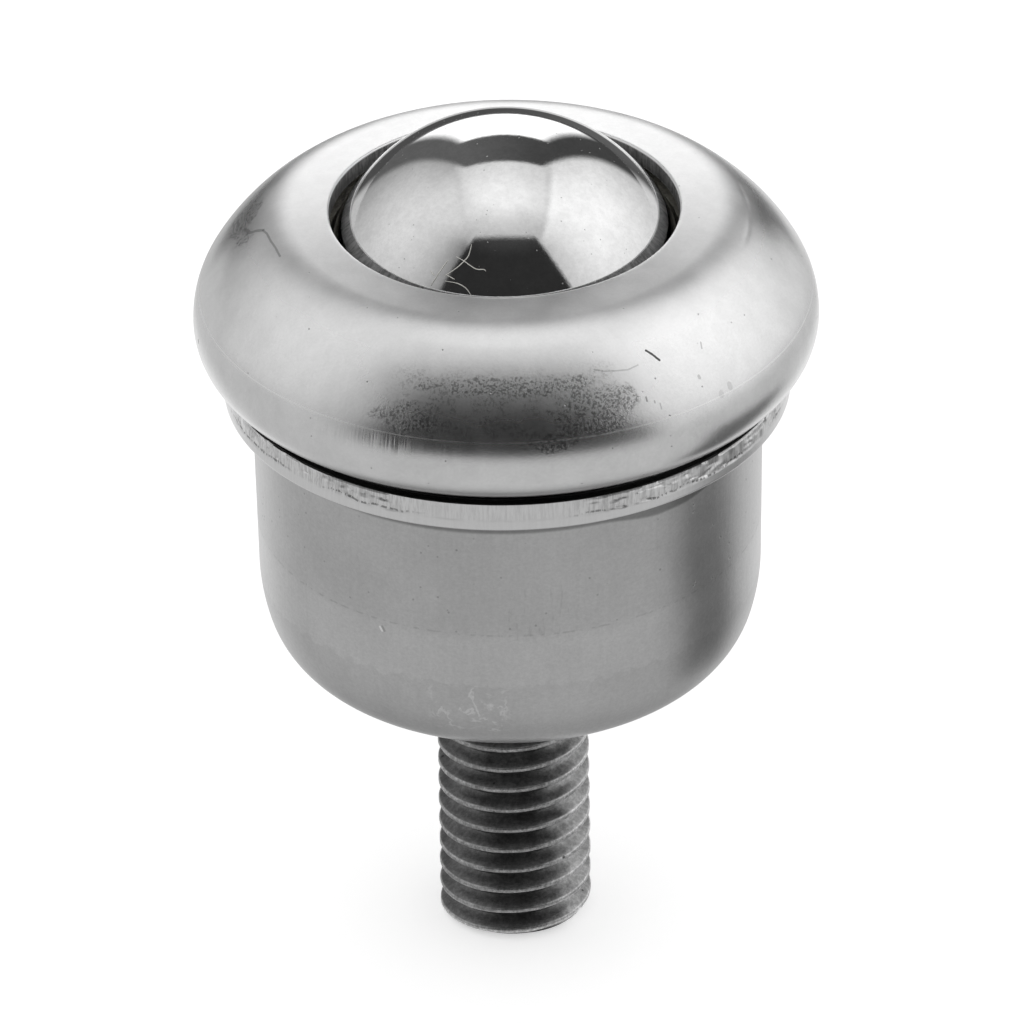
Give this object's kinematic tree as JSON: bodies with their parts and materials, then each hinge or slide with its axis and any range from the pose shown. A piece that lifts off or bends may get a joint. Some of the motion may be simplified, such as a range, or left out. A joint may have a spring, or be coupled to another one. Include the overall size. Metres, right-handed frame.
{
  "type": "ball transfer unit",
  "caption": "Ball transfer unit: a large ball turns on a nest of small balls in a flanged drawn-steel body, with a pressed cap and a threaded stud underneath.",
  "frame": {"origin": "centre of the flat underside of the body, where the unit seats, on the axis of the stud", "axes": "+Z along the axis from the seat towards the load ball; the stud runs along -Z"},
  "size_m": [0.0324, 0.0324, 0.0469],
  "materials": {
    "cap_steel": "satin-polished pressed steel with light wear",
    "felt": "dense grey felt, lightly oiled",
    "ball_steel": "mirror-polished hardened steel with fine scratches",
    "support_steel": "polished bearing steel",
    "race_steel": "hardened and ground",
    "body_steel": "dull drawn steel, sheared flange edge",
    "stud_steel": "dark thread with bright worn crests"
  },
  "bodies": {
    "housing": {"top_cap": "cap_steel", "felt_seal": "felt", "race_cup": "race_steel", "body_cup": "body_steel", "stud_bolt": "stud_steel"},
    "ball_nest": {"support_balls_row_1": "support_steel", "support_balls_row_2": "support_steel", "support_balls_row_3": "support_steel", "support_balls_row_4": "support_steel", "support_balls_row_5": "support_steel", "support_balls_row_6": "support_steel", "support_balls_row_7": "support_steel", "support_balls_row_8": "support_steel", "support_balls_row_9": "support_steel"},
    "ball": {"load_ball": "ball_steel"}
  },
  "joints": [
    {"name": "nest_turn", "type": "hinge", "parent": "housing", "child": "ball_nest", "pos_m": [0, 0, 0.0215], "axis": [0, 0, 1], "continuous": true},
    {"name": "ball_roll", "type": "hinge", "parent": "ball_nest", "child": "ball", "pos_m": [0, 0, 0.0215], "axis": [1, 0, 0], "continuous": true}
  ]
}
